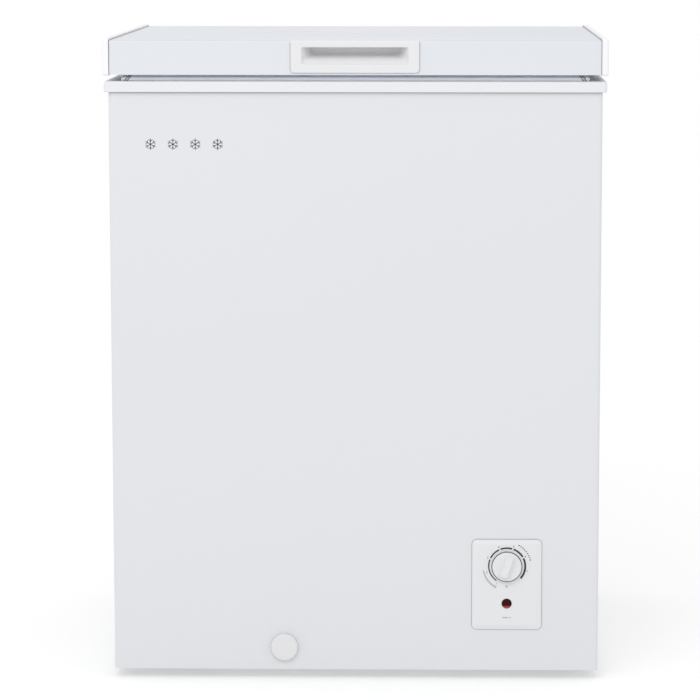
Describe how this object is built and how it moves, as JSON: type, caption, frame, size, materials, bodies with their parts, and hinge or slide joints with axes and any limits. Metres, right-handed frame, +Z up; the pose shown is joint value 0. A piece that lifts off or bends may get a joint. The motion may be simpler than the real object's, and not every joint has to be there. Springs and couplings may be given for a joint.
{
  "type": "chest freezer",
  "caption": "Small upright-proportioned chest freezer with a hinged insulated lid, recessed handle, front thermostat dial, drain outlet and a hanging wire basket.",
  "frame": {"origin": "on the floor under the centre of the object's box", "axes": "+Z up, -Y to the front (handle and dial), +X to the user's right"},
  "size_m": [0.63, 0.557, 0.815],
  "materials": {
    "cabinet_paint": "smooth gloss white powder paint",
    "lid_paint": "smooth gloss white powder paint",
    "back_sheet": "thin white primer on sheet steel",
    "galvanised_sheet": "spangled zinc coating",
    "insulation_foam": "rigid polyurethane foam",
    "embossed_aluminium": "stucco embossed sheet",
    "trim_plastic": "satin white moulding",
    "cap_plastic": "satin white moulding",
    "handle_plastic": "satin white moulding",
    "liner_plastic": "vacuum-formed white sheet",
    "panel_plastic": "fine-grained white moulding",
    "knob_plastic": "satin white moulding",
    "drain_plastic": "satin white moulding",
    "gasket_rubber": "soft pale grey seal",
    "black_rubber": "matt",
    "grey_rubber": "matt",
    "aluminium_tube": "drawn tube",
    "copper_tube": "drawn copper",
    "coated_tube": "copper-washed steel tube",
    "compressor_paint": "semi-gloss black enamel",
    "black_plastic": "moulded",
    "zinc_steel": "zinc plated",
    "spring_steel": "oiled spring wire",
    "plunger_plastic": "natural acetal",
    "lamp_red": "dark red translucent lens",
    "foot_plastic": "moulded",
    "basket_wire": "white plastic-coated wire"
  },
  "bodies": {
    "cabinet": {"outer_shell": "cabinet_paint", "back_panel": "back_sheet", "base_panel": "galvanised_sheet", "compressor_tray": "galvanised_sheet", "compressor_bay_wall": "galvanised_sheet", "cabinet_foam": "insulation_foam", "tank_liner": "embossed_aluminium", "top_trim": "trim_plastic", "evaporator_coil": "aluminium_tube", "condenser_coil": "coated_tube", "condenser_return": "coated_tube", "compressor": "compressor_paint", "compressor_base_plate": "galvanised_sheet", "compressor_grommets": "black_rubber", "compressor_bolts": "zinc_steel", "terminal_cover": "black_plastic", "filter_drier": "copper_tube", "capillary_tube": "copper_tube", "suction_tube": "copper_tube", "discharge_tube": "copper_tube", "thermostat_body": "black_plastic", "thermostat_sensor": "copper_tube", "control_panel": "panel_plastic", "indicator_lens": "lamp_red", "indicator_lamp": "black_plastic", "wire_harness": "black_plastic", "rear_cover": "back_sheet", "rear_cover_screws": "zinc_steel", "cord_gland": "black_rubber", "drain_spout": "drain_plastic", "drain_tube": "grey_rubber", "feet": "foot_plastic", "hinge_bracket_left": "zinc_steel", "hinge_bracket_right": "zinc_steel", "hinge_bracket_screws": "zinc_steel", "hinge_pins": "zinc_steel", "hinge_spring_left": "spring_steel", "hinge_spring_right": "spring_steel"},
    "lid": {"lid_skin": "lid_paint", "lid_foam": "insulation_foam", "lid_liner": "liner_plastic", "lid_gasket": "gasket_rubber", "lid_cap_left": "cap_plastic", "lid_cap_right": "cap_plastic", "lid_handle": "handle_plastic", "hinge_arm_left": "zinc_steel", "hinge_arm_right": "zinc_steel", "hinge_arm_screws": "zinc_steel"},
    "plunger_left": {"hinge_plunger_left": "plunger_plastic"},
    "plunger_right": {"hinge_plunger_right": "plunger_plastic"},
    "knob": {"thermostat_knob": "knob_plastic", "thermostat_shaft": "zinc_steel"},
    "drain_cap": {"drain_cap": "drain_plastic"},
    "drain_plug": {"drain_plug": "grey_rubber"},
    "basket": {"basket_rim": "basket_wire", "basket_floor": "basket_wire", "basket_left": "basket_wire", "basket_right": "basket_wire", "basket_front": "basket_wire", "basket_rear": "basket_wire"}
  },
  "joints": [
    {"name": "lid_hinge", "type": "hinge", "parent": "cabinet", "child": "lid", "pos_m": [0, 0.2705, 0.776], "axis": [-1, 0, 0], "range_deg": [0, 85]},
    {"name": "plunger_left_slide", "type": "slide", "parent": "cabinet", "child": "plunger_left", "axis": [0, 0, 1], "range_m": [0, 0.009], "deforming": ["hinge_spring_left"]},
    {"name": "plunger_right_slide", "type": "slide", "parent": "cabinet", "child": "plunger_right", "axis": [0, 0, 1], "range_m": [0, 0.009], "deforming": ["hinge_spring_right"]},
    {"name": "knob_turn", "type": "hinge", "parent": "cabinet", "child": "knob", "pos_m": [0.192, -0.27, 0.1478], "axis": [0, -1, 0], "range_deg": [-86, 199]},
    {"name": "drain_cap_pull", "type": "slide", "parent": "cabinet", "child": "drain_cap", "axis": [0, -1, 0], "range_m": [0, 0.03]},
    {"name": "drain_plug_lift", "type": "slide", "parent": "cabinet", "child": "drain_plug", "axis": [0, 0, 1], "range_m": [0, 0.02]},
    {"name": "basket_slide", "type": "slide", "parent": "cabinet", "child": "basket", "axis": [-1, 0, 0], "range_m": [0, 0.296]}
  ],
  "couplings": [
    {"joint": "plunger_left_slide", "follows": "lid_hinge", "m_per_rad": 0.006},
    {"joint": "plunger_right_slide", "follows": "lid_hinge", "m_per_rad": 0.006}
  ]
}
